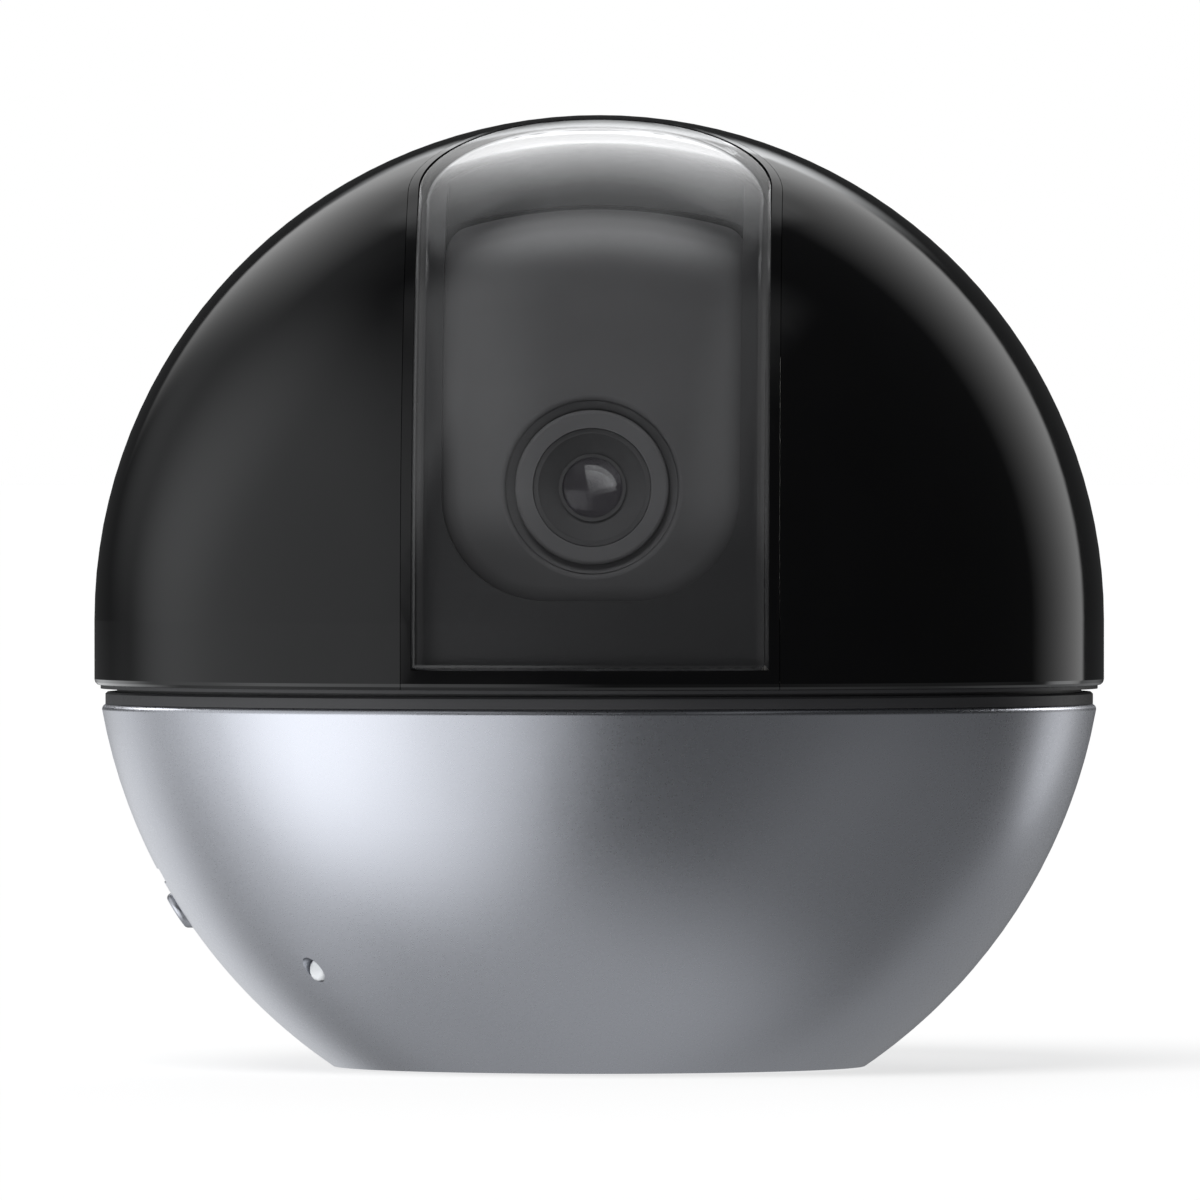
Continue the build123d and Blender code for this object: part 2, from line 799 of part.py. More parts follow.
with BuildPart() as thrust_washer:
    washer_in = spindle_r + bush_wall
    ring(Plane.XY.offset(deck_floor_z), washer_in + washer_w, washer_in, seam_gap - running)
save(thrust_washer, "thrust_washer")

with BuildPart() as pan_motor:
    stepper(up((pan_centre, 0, motor_face_z)), 270)
save(pan_motor, "pan_motor")

with BuildPart() as pan_motor_screws:
    for x, y in pan_ears:
        screw(up((x, y, motor_face_z - ear_t)), ear_t + post_depth - clear)
save(pan_motor_screws, "pan_motor_screws")

# Pinions: each is one piece with the shaft that turns in its motor
half_pitch = 180 / pinion_teeth
with BuildPart() as pan_pinion:
    pan_pinion_low = gear_low_z - mesh_gap
    pinion_plane = up((pan_centre, 0, pan_pinion_low))
    toothed(pinion_plane, pinion_teeth, 180 + half_pitch, 0, gear_t + 2 * mesh_gap)
    disc(pinion_plane, motor_shaft_r, motor_face_z - shaft_depth + clear - pan_pinion_low)
save(pan_pinion, "pan_pinion")

# Turntable: rim under the dome, sunk floor and hollow spindle
with BuildPart() as turntable:
    with BuildSketch(Plane.XZ):
        Polygon(
            (cable_r, spindle_low_z),
            (spindle_r, spindle_low_z),
            (spindle_r, retainer_low_z),
            (spindle_r - groove, retainer_low_z),
            (spindle_r - groove, gear_low_z),
            (spindle_r, gear_low_z),
            (spindle_r, floor_z - plate_t),
            (dish_out, floor_z - plate_t),
            (dish_out, head_z),
            (table_rim_r, head_z),
            (table_rim_r, ledge_z),
            (dome_r - ledge_step, ledge_z),
            (dome_r - ledge_step, dome_z),
            (dome_r - dome_wall - clear / 2, dome_z),
            (dome_r - dome_wall - clear / 2, table_z),
            (dish_r, table_z),
            (dish_r, floor_z),
            (cable_r, floor_z),
        )
    revolve(axis=Axis.Z)
    for angle in dome_screw_angles:
        rim_hole = up(polar(dome_boss_r, angle, head_z))
        disc(rim_hole, screw_r + seat, plate_t, Mode.SUBTRACT)
        disc(rim_hole, screw_head_r + seat, screw_head_t + running, Mode.SUBTRACT)
    for x, y in yoke_spots:
        disc(up((x, y, floor_z)), screw_r + seat, -plate_t, Mode.SUBTRACT)
save(turntable, "turntable")

with BuildPart() as pan_gear:
    toothed(Plane.XY.offset(gear_low_z), pan_teeth, 0, spindle_r + seat, gear_t)
save(pan_gear, "pan_gear")

with BuildPart() as pan_retainer:
    retainer_plane = Plane.XY.offset(retainer_low_z + seat)
    ring(retainer_plane, retainer_r, spindle_r - groove + seat, retainer_t - 2 * seat)
    block(up((0, retainer_r, retainer_low_z)), groove * 3, 2 * retainer_r, retainer_t, Mode.SUBTRACT)
save(pan_retainer, "pan_retainer")

# Dome: a shell open at the front down to its lower edge, with three screw bosses
with BuildPart() as dome_space:
    dome_section(dome_r - dome_wall, 0, dome_z)
    for angle in dome_screw_angles:
        disc(up(polar(dome_boss_r, angle, table_z + running)), post_r, dome_boss_h, Mode.SUBTRACT)

with BuildPart() as dome:
    dome_section(dome_r, 0, dome_z, dome_edge)
    add(dome_space.part, mode=Mode.SUBTRACT)
    tongue(window_half + bezel_w + parting, 0, Mode.SUBTRACT)
    for angle in dome_screw_angles:
        disc(up(polar(dome_boss_r, angle, table_z)), screw_r + seat, post_depth, Mode.SUBTRACT)
save(dome, "dome")

with BuildPart() as dome_screws:
    dome_screw_l = plate_t - screw_head_t + post_depth - clear
    for angle in dome_screw_angles:
        screw(up(polar(dome_boss_r, angle, head_z + screw_head_t)), dome_screw_l)
save(dome_screws, "dome_screws")

with BuildPart() as window_bezel:
    dome_section(dome_r, dome_r - dome_wall, dome_z, dome_edge)
    tongue(window_half + bezel_w, 0, Mode.INTERSECT)
    tongue(window_half + running, window_low, Mode.SUBTRACT)
save(window_bezel, "window_bezel")

# Window: flush with the dome, with a flange that lies behind the bezel
flange_out = dome_r - dome_wall - running
flange_low = window_low - flange_w
with BuildPart() as window_border:
    dome_section(flange_out, flange_out - flange_t, flange_low)
    tongue(window_half + flange_w, flange_low, Mode.INTERSECT)
    tongue(window_half - flange_w, window_low + flange_w, Mode.SUBTRACT)

with BuildPart() as window:
    dome_section(dome_r, dome_r - window_t, window_low)
    tongue(window_half, window_low, Mode.INTERSECT)
    round_face = window.faces().filter_by(GeomType.SPHERE).sort_by(SortBy.AREA)[-1]
    skirt_face = window.faces().sort_by(Axis.Y)[0]
    outline = (round_face.edges() + skirt_face.edges()).filter_by(
        lambda edge: abs(edge.center().Z - dome_c) > running
    )
    fillet(outline, window_edge)
    add(window_border.part)
save(window, "window")

# Shroud: lines the space between window and drum, with a mask behind the window that is open at the drum's face
shroud_out = dome_r - dome_wall - flange_t - clear
shroud_half = window_half - flange_w - running
shroud_wall = 0.9
shroud_low = table_z + running
shroud_back = tilt_y - yoke_length / 2 - clear
shroud_cut = tilt_z + arm_head_r + clear - shroud_low
with BuildPart() as shroud_mask:
    dome_section(shroud_out, shroud_out - shroud_wall, shroud_low)
    tongue(shroud_half, shroud_low, Mode.INTERSECT)
    face_outline(-mask_over, Mode.SUBTRACT)

with BuildPart() as inner_shroud:
    dome_section(shroud_out, 0, shroud_low)
    tongue(shroud_half, shroud_low, Mode.INTERSECT)
    tongue(shroud_half - shroud_wall, shroud_low + shroud_wall, Mode.SUBTRACT)
    barrel(face_r + 2 * clear, face_half + clear, Mode.SUBTRACT)
    block(up((0, shroud_back + far / 2, shroud_low)), far, far, shroud_cut, Mode.SUBTRACT)
    add(shroud_mask.part)
save(inner_shroud, "inner_shroud")


# Yoke: an arm on each side, standing on the turntable's floor
def yoke_arm(hand, ears):
    """One arm with its foot and its bush seat; the hand is 1 on the right, -1 on the left."""
    with BuildSketch(side(hand * arm_in, 0, 0)) as arm:
        with Locations((tilt_y, tilt_z)):
            Circle(arm_head_r)
        for ear in ears:
            with Locations(ear):
                Circle(ear_r)
        with Locations((tilt_y, floor_z + plate_t)):
            Rectangle(yoke_length, 2 * plate_t)
        make_hull()
        with Locations((tilt_y, tilt_z)):
            Circle(bush_r + seat, mode=Mode.SUBTRACT)
    extrude(arm.sketch, amount=hand * arm_t)
    block(up((hand * yoke_x, tilt_y, floor_z)), yoke_foot, yoke_length, plate_t)
    for y in (yoke_front, yoke_back):
        disc(up((hand * yoke_x, y, floor_z)), screw_r + seat, plate_t, Mode.SUBTRACT)
    # Gusset from the arm to its foot
    with BuildSketch(Plane.XZ.offset(-tilt_y - plate_t / 2)) as gusset:
        Polygon(
            (hand * arm_out, floor_z + plate_t),
            (hand * (arm_out + yoke_foot), floor_z + plate_t),
            (hand * arm_out, floor_z + plate_t + yoke_foot),
        )
    extrude(gusset.sketch, amount=plate_t)


with BuildPart() as yoke_left:
    yoke_arm(-1, [])
save(yoke_left, "yoke_left")

with BuildPart() as yoke_right:
    yoke_arm(1, tilt_ears)
    for y, z in tilt_ears:
        disc(side(arm_out, y, z), small_post_r, tilt_motor_x - arm_out)
        disc(side(tilt_motor_x, y, z), screw_r + seat, arm_out - tilt_motor_x - arm_t, Mode.SUBTRACT)
save(yoke_right, "yoke_right")

with BuildPart() as yoke_screws:
    for x, y in yoke_spots:
        screw(Plane(origin=(x, y, floor_z + plate_t), z_dir=(0, 0, -1)), 2 * plate_t - clear)
save(yoke_screws, "yoke_screws")

with BuildPart() as tilt_bushes:
    for hand in (-1, 1):
        bush_plane = side(hand * (arm_in - bush_flange_t), tilt_y, tilt_z)
        ring(bush_plane, bush_r, trunnion_r + running, hand * (arm_t + bush_flange_t))
        ring(bush_plane, bush_flange_r, trunnion_r + running, hand * bush_flange_t)
save(tilt_bushes, "tilt_bushes")

with BuildPart() as tilt_motor:
    motor_spot = (tilt_motor_x, tilt_pinion_y, tilt_pinion_z)
    stepper(Plane(origin=motor_spot, x_dir=(0, 1, 0), z_dir=(-1, 0, 0)), -tilt_ear_angle)
save(tilt_motor, "tilt_motor")

with BuildPart() as tilt_motor_screws:
    for y, z in tilt_ears:
        head_plane = Plane(origin=(tilt_motor_x + ear_t, y, z), z_dir=(-1, 0, 0))
        screw(head_plane, ear_t + tilt_motor_x - arm_out)
save(tilt_motor_screws, "tilt_motor_screws")

with BuildPart() as tilt_pinion:
    pinion_plane = side(gear_in - mesh_gap, tilt_pinion_y, tilt_pinion_z)
    toothed(pinion_plane, pinion_teeth, tilt_pinion_angle + 180 + half_pitch, 0, gear_t + 2 * mesh_gap)
    disc(pinion_plane, motor_shaft_r, tilt_motor_x + shaft_depth - clear - gear_in + mesh_gap)
save(tilt_pinion, "tilt_pinion")

# Face of the drum: a thick crowned cap with soft edges, bored for the lens
with BuildPart() as face_shell:
    barrel(face_r, face_half + crown_over)
    barrel(core_r + clear, face_half + crown_over + clear, Mode.SUBTRACT)
    face_outline(0, Mode.INTERSECT)
    crown = face_shell.faces().sort_by(SortBy.AREA)[-1]
    rim = crown.edges().filter_by(lambda edge: edge.center().Y < tilt_y + face_back - clear)
    fillet(rim, face_edge)
    disc(front_plane, port_r, far, Mode.SUBTRACT)
    port = face_shell.edges().filter_by(lambda edge: abs(edge.center().Z - tilt_z) < clear)
    fillet(port.sort_by(Axis.Y)[0], port_edge)
save(face_shell, "face_shell")

# Core of the drum: a hollow barrel in two halves, with the trunnions on the front one
board_post_x = sensor_board_w / 2 - small_post_r
board_post_z = sensor_board_h / 2 - small_post_r
board_posts = [(board_post_x, -board_post_z), (-board_post_x, board_post_z)]
clip_x = -arm_out - clear


def hollow_core():
    """The whole core, before it is split."""
    barrel(core_r, core_half)
    barrel(core_r - core_wall, core_half - core_wall, Mode.SUBTRACT)


with BuildPart() as drum_core:
    hollow_core()
    with BuildSketch(front_plane.offset(board_front)):
        with Locations(*board_posts):
            Circle(small_post_r)
    extrude(until=Until.NEXT)
    split(bisect_by=front_plane.offset(-core_split), keep=Keep.TOP)
    disc(front_plane, holder_r + clear, far, Mode.SUBTRACT)
    with BuildSketch(front_plane.offset(board_front)):
        with Locations(*board_posts):
            Circle(screw_r + seat)
    extrude(amount=post_depth, mode=Mode.SUBTRACT)
    disc(side(core_half, tilt_y, tilt_z), trunnion_r, gear_out - core_half + clear)
    disc(side(-core_half, tilt_y, tilt_z), trunnion_r, core_half + clip_x - 2 * retainer_t)
    ring(side(clip_x, tilt_y, tilt_z), trunnion_r + clear, trunnion_r - groove, -retainer_t, Mode.SUBTRACT)
save(drum_core, "drum_core")

with BuildPart() as drum_back:
    hollow_core()
    split(bisect_by=front_plane.offset(-core_split - running), keep=Keep.BOTTOM)
save(drum_back, "drum_back")

with BuildPart() as tilt_gear:
    gear_plane = side(gear_in, tilt_y, tilt_z)
    toothed(gear_plane, tilt_teeth, tilt_pinion_angle, trunnion_r + seat, gear_t)
save(tilt_gear, "tilt_gear")

with BuildPart() as trunnion_clip:
    clip_plane = side(clip_x - seat, tilt_y, tilt_z)
    ring(clip_plane, 2 * trunnion_r, trunnion_r - groove + seat, 2 * seat - retainer_t)
    with BuildSketch(clip_plane):
        with Locations((0, 2 * trunnion_r)):
            Rectangle(trunnion_r, 4 * trunnion_r)
    extrude(amount=-retainer_t, mode=Mode.SUBTRACT)
save(trunnion_clip, "trunnion_clip")

# Lens: holder on the sensor board, barrel screwed into it, glass in the barrel
holder_flange = 2.0
holder_lugs = [(-board_post_x, -board_post_z), (board_post_x, board_post_z)]
with BuildPart() as lens_holder:
    with BuildSketch(front_plane.offset(board_front)):
        Circle(holder_r)
        with Locations(*holder_lugs):
            Circle(small_post_r)
        make_hull()
    extrude(amount=holder_flange)
    disc(front_plane.offset(board_front), holder_r, holder_front - board_front)
    fillet(lens_holder.edges().sort_by(Axis.Y)[0], port_edge)
    disc(front_plane.offset(board_front), barrel_r + running, far, Mode.SUBTRACT)
save(lens_holder, "lens_holder")

barrel_back = board_front + 2 * holder_flange
glass_edge = barrel_front - cone_depth
rear_t = 1.2
with BuildPart() as lens_barrel:
    with BuildSketch(lens_plane):
        Polygon(
            (barrel_back, glass_r + seat),
            (barrel_back, barrel_r),
            (barrel_front, barrel_r),
            (barrel_front, barrel_r - barrel_lip),
            (barrel_front - barrel_step, barrel_r - barrel_lip),
            (glass_edge, glass_r + glass_ring_w),
            (glass_edge + glass_ring_h, glass_r + glass_ring_w),
            (glass_edge + glass_ring_h, glass_r + seat),
        )
    revolve(axis=lens_axis)
save(lens_barrel, "lens_barrel")

# Front glass: a domed face on a short cylinder
with BuildPart() as lens_front:
    with BuildSketch(lens_plane):
        with BuildLine():
            glass_back = glass_edge - rear_t
            Polyline((glass_edge, glass_r), (glass_back, glass_r), (glass_back, 0), (glass_front, 0))
            TangentArc((glass_front, 0), (glass_edge, glass_r), tangent=(0, 1))
        make_face()
    revolve(axis=lens_axis)
save(lens_front, "lens_front")

with BuildPart() as lens_rear:
    disc(front_plane.offset(barrel_back), glass_r, rear_t)
save(lens_rear, "lens_rear")

with BuildPart() as image_sensor:
    block(front_plane.offset(board_front), sensor_side, sensor_side, sensor_t)
save(image_sensor, "image_sensor")

with BuildPart() as ir_filter:
    block(front_plane.offset(board_front + sensor_t), sensor_side, sensor_side, filter_t)
save(ir_filter, "ir_filter")

with BuildPart() as sensor_board:
    with BuildSketch(front_plane.offset(board_front)):
        RectangleRounded(sensor_board_w, sensor_board_h, screw_r)
        with Locations(*board_posts):
            Circle(screw_r + seat, mode=Mode.SUBTRACT)
    extrude(amount=-board_t)
save(sensor_board, "sensor_board")

with BuildPart() as sensor_screws:
    sensor_back = tilt_y - board_front + board_t
    for x, z in board_posts:
        head_plane = Plane(origin=(x, sensor_back, tilt_z + z), z_dir=(0, -1, 0))
        screw(head_plane, board_t + post_depth - clear)
save(sensor_screws, "sensor_screws")
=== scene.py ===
import json
from math import cos, pi, radians, sin

import bmesh
import bpy
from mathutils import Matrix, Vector


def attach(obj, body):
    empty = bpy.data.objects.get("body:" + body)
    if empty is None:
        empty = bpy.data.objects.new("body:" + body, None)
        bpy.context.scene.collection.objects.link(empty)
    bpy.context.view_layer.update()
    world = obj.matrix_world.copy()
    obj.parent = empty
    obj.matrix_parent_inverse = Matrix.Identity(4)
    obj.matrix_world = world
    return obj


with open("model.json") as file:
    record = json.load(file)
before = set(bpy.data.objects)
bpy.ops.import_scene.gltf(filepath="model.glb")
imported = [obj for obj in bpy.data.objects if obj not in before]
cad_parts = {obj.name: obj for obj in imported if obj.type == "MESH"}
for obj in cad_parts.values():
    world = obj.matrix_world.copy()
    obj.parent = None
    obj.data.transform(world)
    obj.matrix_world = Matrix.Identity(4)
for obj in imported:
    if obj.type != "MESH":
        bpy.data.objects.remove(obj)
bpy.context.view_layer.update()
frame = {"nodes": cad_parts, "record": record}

nodes = frame["nodes"]
scene = bpy.context.scene
scene.view_settings.view_transform = "Standard"
MM = 0.001

# Camera: level with the dome, a little to the right, far away behind a long lens
CAMERA_DISTANCE = 1.9
CAMERA_HEIGHT = 58 * MM
CAMERA_AZIMUTH = radians(1.1)
CAMERA_PITCH = radians(0.409)
CAMERA_LENS = 599.4
CAMERA_SHIFT = 0.0007
SENSOR_WIDTH = 36
FARTHEST = 100

camera_data = bpy.data.cameras.new("camera")
camera_data.sensor_width = SENSOR_WIDTH
camera_data.lens = CAMERA_LENS
camera_data.shift_x = CAMERA_SHIFT
camera_data.clip_end = FARTHEST
camera = bpy.data.objects.new("camera", camera_data)
camera.location = (
    CAMERA_DISTANCE * sin(CAMERA_AZIMUTH),
    -CAMERA_DISTANCE * cos(CAMERA_AZIMUTH),
    CAMERA_HEIGHT,
)
camera.rotation_euler = (radians(90) - CAMERA_PITCH, 0, CAMERA_AZIMUTH)
scene.collection.objects.link(camera)
scene.camera = camera


class Tree:
    """Short calls for building a node tree."""

    def __init__(self, tree):
        tree.nodes.clear()
        self.tree = tree

    def node(self, kind, **settings):
        """Add a node; settings are its own properties."""
        made = self.tree.nodes.new(kind)
        for key, value in settings.items():
            setattr(made, key, value)
        return made

    def put(self, value, socket):
        """Link an output to a socket, or set a plain value on it."""
        if isinstance(value, bpy.types.NodeSocket):
            self.tree.links.new(value, socket)
        else:
            socket.default_value = value

    def output(self, shader, kind="ShaderNodeOutputMaterial"):
        """Link a shader to a new output node."""
        self.put(shader, self.node(kind).inputs["Surface"])

    def math(self, operation, a, b=0.0):
        made = self.node("ShaderNodeMath", operation=operation)
        self.put(a, made.inputs[0])
        self.put(b, made.inputs[1])
        return made.outputs[0]

    def product(self, *factors):
        """Multiply several values."""
        result = factors[0]
        for factor in factors[1:]:
            result = self.math("MULTIPLY", result, factor)
        return result

    def total(self, *values):
        """Add several values."""
        result = values[0]
        for value in values[1:]:
            result = self.math("ADD", result, value)
        return result

    def ramp(self, value, low, high, to_low=0.0, to_high=1.0, soft=False):
        """Map a range of values to another, which doesn't go on beyond its ends."""
        kind = "SMOOTHSTEP" if soft else "LINEAR"
        made = self.node("ShaderNodeMapRange", interpolation_type=kind)
        self.put(value, made.inputs["Value"])
        self.put(low, made.inputs["From Min"])
        self.put(high, made.inputs["From Max"])
        self.put(to_low, made.inputs["To Min"])
        self.put(to_high, made.inputs["To Max"])
        return made.outputs["Result"]

    def mix(self, factor, a, b):
        """Mix two colours."""
        made = self.node("ShaderNodeMix", data_type="RGBA")
        self.put(factor, made.inputs["Factor"])
        self.put(a, made.inputs["A"])
        self.put(b, made.inputs["B"])
        return made.outputs["Result"]

    def split(self, vector):
        """The three components of a vector."""
        made = self.node("ShaderNodeSeparateXYZ")
        self.put(vector, made.inputs[0])
        return made.outputs

    def place(self, stretch=(1, 1, 1)):
        """Object coordinates in millimetres, stretched along the axes."""
        where = self.node("ShaderNodeTexCoord").outputs["Object"]
        mapped = self.node("ShaderNodeMapping")
        self.put(where, mapped.inputs["Vector"])
        mapped.inputs["Scale"].default_value = [s / MM for s in stretch]
        return mapped.outputs["Vector"]

    def noise(self, place, scale, detail=3.0):
        made = self.node("ShaderNodeTexNoise")
        self.put(place, made.inputs["Vector"])
        made.inputs["Scale"].default_value = scale
        made.inputs["Detail"].default_value = detail
        return made.outputs["Fac"]

    def cells(self, place, scale):
        """Random value for each small cell."""
        made = self.node("ShaderNodeTexVoronoi")
        self.put(place, made.inputs["Vector"])
        made.inputs["Scale"].default_value = scale
        channels = self.node("ShaderNodeSeparateColor")
        self.put(made.outputs["Color"], channels.inputs[0])
        return channels.outputs[0]

    def bump(self, height, strength, depth):
        """Normal of a surface with a relief; depth is in millimetres."""
        made = self.node("ShaderNodeBump")
        made.inputs["Strength"].default_value = strength
        made.inputs["Distance"].default_value = depth * MM
        self.put(height, made.inputs["Height"])
        return made.outputs["Normal"]


def new_material(name):
    """Empty material, and the tree to build it with."""
    made = bpy.data.materials.new(name)
    made.use_nodes = True
    return made, Tree(made.node_tree)


def shade(colour, factor=1.0):
    """A colour made lighter or darker."""
    return tuple(min(1.0, c * factor) for c in colour[:3]) + (1.0,)


def surface(name, colour, rough, metal=0.0, tone=0.1, tone_scale=0.15, spread=0.06, grain=2.0,
            strength=0.1, depth=0.02, stretch=(1, 1, 1), **sockets):
    """Material with a mottled colour, uneven gloss and a fine grain; lengths are in millimetres."""
    made, t = new_material(name)
    place = t.place(stretch)
    body = t.node("ShaderNodeBsdfPrincipled")
    mottle = t.noise(place, tone_scale)
    fine = t.noise(place, grain, detail=4.0)
    t.put(t.mix(mottle, shade(colour, 1 - tone), shade(colour, 1 + tone)), body.inputs["Base Color"])
    t.put(t.ramp(fine, 0.3, 0.7, rough - spread, rough + spread), body.inputs["Roughness"])
    t.put(t.bump(fine, strength, depth), body.inputs["Normal"])
    body.inputs["Metallic"].default_value = metal
    for key, value in sockets.items():
        body.inputs[key.replace("_", " ")].default_value = value
    t.output(body.outputs[0])
    return made


# Flakes of the silver paint, and the slow drift in its tone, for each millimetre
FLAKES = 9.0
DRIFT = 0.08


def silver_paint(name, colour):
    """Satin metallic paint: fine flakes that differ in tone, gloss and tilt."""
    made, t = new_material(name)
    place = t.place()
    body = t.node("ShaderNodeBsdfPrincipled")
    flake = t.cells(place, FLAKES)
    drift = t.noise(place, DRIFT, detail=2.0)
    tone = t.math("ADD", t.ramp(flake, 0, 1, 0.0, 0.7), t.ramp(drift, 0.3, 0.7, 0.0, 0.3))
    t.put(t.mix(tone, shade(colour, 0.96), shade(colour, 1.04)), body.inputs["Base Color"])
    t.put(t.ramp(flake, 0, 1, 0.27, 0.33), body.inputs["Roughness"])
    t.put(t.bump(flake, strength=0.025, depth=0.01), body.inputs["Normal"])
    body.inputs["Metallic"].default_value = 1.0
    t.output(body.outputs[0])
    return made


# Outline of the window, seen from above, in millimetres
WINDOW_HALF = 16.6
WINDOW_END = -6.9
WINDOW_CORNER = 12.0

# Border along the window, a pale strip of painted sheen for light caught by the window's edge: its width, its
# soft edge, its strength, and the heights where it thins out
BORDER = 1.0
BORDER_EDGE = 0.2
BORDER_PAINTED_SHEEN = 0.03
BORDER_THIN = 46.0
BORDER_FULL = 54.0
BORDER_LEAST = 0.3


def window_border(t):
    """How clear the window is: a little less clear in a narrow border along its sides and its rounded top, a
    painted sheen for light caught by the window's edge that fades out towards the bottom.
    """
    across, away, height = t.split(t.place())
    side = t.math("MAXIMUM", t.math("SUBTRACT", t.math("ABSOLUTE", across), WINDOW_HALF - WINDOW_CORNER), 0.0)
    end = t.math("MAXIMUM", t.math("SUBTRACT", away, WINDOW_END - WINDOW_CORNER), 0.0)
    from_corner = t.math("SQRT", t.math("ADD", t.math("POWER", side, 2.0), t.math("POWER", end, 2.0)))
    inset = t.math("SUBTRACT", WINDOW_CORNER, from_corner)
    # Painted sheen: a pale, partly matt border for light caught by the window's edge, fading out towards the
    # bottom
    haze_and_sheen = t.ramp(inset, BORDER, BORDER + BORDER_EDGE, BORDER_PAINTED_SHEEN, 0.0, soft=True)
    share = t.ramp(height, BORDER_THIN, BORDER_FULL, BORDER_LEAST, 1.0, soft=True)
    return t.math("SUBTRACT", 1.0, t.math("MULTIPLY", haze_and_sheen, share))


def clear(name, colour, ior, haze_and_sheen=0.0, border=False):
    """Clear piece: tinted, with faint smears in its gloss; light from outside reaches what is behind it."""
    made, t = new_material(name)
    body = t.node("ShaderNodeBsdfPrincipled")
    smear = t.noise(t.place((1, 1, 0.3)), 0.2, detail=4.0)
    t.put(t.ramp(smear, 0.4, 0.8, 0.0, 0.02), body.inputs["Roughness"])
    body.inputs["Base Color"].default_value = shade(colour)
    body.inputs["IOR"].default_value = ior
    body.inputs["Transmission Weight"].default_value = 1 - haze_and_sheen
    # The window's border carries a painted sheen along its edges
    if border:
        t.put(window_border(t), body.inputs["Transmission Weight"])
    through = t.node("ShaderNodeBsdfTransparent")
    through.inputs["Color"].default_value = shade(colour)
    both = t.node("ShaderNodeMixShader")
    t.put(t.node("ShaderNodeLightPath").outputs["Is Shadow Ray"], both.inputs["Fac"])
    t.put(body.outputs[0], both.inputs[1])
    t.put(through.outputs[0], both.inputs[2])
    t.output(both.outputs[0])
    return made


def board(name):
    """Circuit board: a green mask with a raised net of tracks."""
    made, t = new_material(name)
    place = t.place()
    brick = t.node("ShaderNodeTexBrick")
    t.put(place, brick.inputs["Vector"])
    brick.inputs["Scale"].default_value = 0.6
    brick.inputs["Mortar Size"].default_value = 0.03
    brick.inputs["Color1"].default_value = (0.010, 0.085, 0.035, 1)
    brick.inputs["Color2"].default_value = (0.012, 0.100, 0.042, 1)
    brick.inputs["Mortar"].default_value = (0.020, 0.160, 0.070, 1)
    body = t.node("ShaderNodeBsdfPrincipled")
    t.put(brick.outputs["Color"], body.inputs["Base Color"])
    t.put(t.ramp(t.noise(place, 1.5), 0.3, 0.7, 0.25, 0.4), body.inputs["Roughness"])
    t.put(t.bump(brick.outputs["Fac"], strength=0.3, depth=0.03), body.inputs["Normal"])
    t.output(body.outputs[0])
    return made


# One material for each slot of the record
materials = {
    "silver_shell": silver_paint("silver_shell", (0.575, 0.588, 0.636)),
    "gloss_black": surface("gloss_black", (0.002, 0.002, 0.0022), rough=0.06, spread=0.015, tone=0.2,
                           grain=0.4, strength=0.02, depth=0.01),
    # border=True gives the window a painted sheen along its edges
    "smoked_window": clear("smoked_window", (0.78, 0.78, 0.785), ior=1.5, border=True),
    "shroud_plastic": surface("shroud_plastic", (0.042, 0.042, 0.043), rough=0.5, grain=3.0, strength=0.2),
    "face_plastic": surface("face_plastic", (0.135, 0.135, 0.1375), rough=0.6, grain=5.0, strength=0.15,
                            Specular_IOR_Level=0.2),
    "holder_plastic": surface("holder_plastic", (0.16, 0.16, 0.163), rough=0.55, grain=5.0, strength=0.15,
                              Specular_IOR_Level=0.2),
    "lens_black": surface("lens_black", (0.10, 0.10, 0.102), rough=0.45, grain=6.0, Specular_IOR_Level=0.3),
    "lens_glass": clear("lens_glass", (0.86, 0.84, 0.88), ior=1.6, haze_and_sheen=0.035),
    "dark_plastic": surface("dark_plastic", (0.032, 0.032, 0.034), rough=0.4, grain=4.0),
    "foot_rubber": surface("foot_rubber", (0.025, 0.025, 0.025), rough=0.8, grain=3.0, strength=0.4),
    "brass_insert": surface("brass_insert", (0.72, 0.50, 0.20), rough=0.3, metal=1.0, stretch=(1, 1, 8)),
    "screw_steel": surface("screw_steel", (0.50, 0.50, 0.51), rough=0.32, metal=1.0, grain=6.0),
    "circuit_board": board("circuit_board"),
    "chip_plastic": surface("chip_plastic", (0.025, 0.025, 0.026), rough=0.55, grain=8.0, strength=0.3),
    "tin_shield": surface("tin_shield", (0.62, 0.62, 0.60), rough=0.28, metal=1.0, stretch=(4, 0.4, 1)),
    "connector_plastic": surface("connector_plastic", (0.75, 0.73, 0.66), rough=0.35),
    "clear_pipe": surface("clear_pipe", (0.80, 0.82, 0.84), rough=0.3),
    "gasket_foam": surface("gasket_foam", (0.04, 0.04, 0.04), rough=0.9, grain=4.0, strength=0.6, depth=0.1),
    "cone_paper": surface("cone_paper", (0.05, 0.05, 0.05), rough=0.85, grain=2.5, strength=0.5, depth=0.05),
    "magnet_steel": surface("magnet_steel", (0.40, 0.40, 0.41), rough=0.3, metal=1.0),
    "motor_steel": surface("motor_steel", (0.60, 0.60, 0.60), rough=0.3, metal=1.0, stretch=(1, 1, 0.2)),
    "gear_plastic": surface("gear_plastic", (0.80, 0.79, 0.74), rough=0.4, grain=3.0),
}
for part in frame["record"]["subparts"]:
    mesh = nodes[part["node"]].data
    mesh.materials.clear()
    mesh.materials.append(materials[part["material_slot"]])

# The lining behind the window casts no shadow on the drum in it
nodes["inner_shroud"].visible_shadow = False

# Collar in the lens port, between the face and the lens holder: a ring about the lens axis, in millimetres
COLLAR_INSIDE = 7.13
COLLAR_OUTSIDE = 7.92
COLLAR_BACK = 23.3
COLLAR_FRONT_INSIDE = 23.5
COLLAR_FRONT_OUTSIDE = 24.45
COLLAR_STEPS = 96

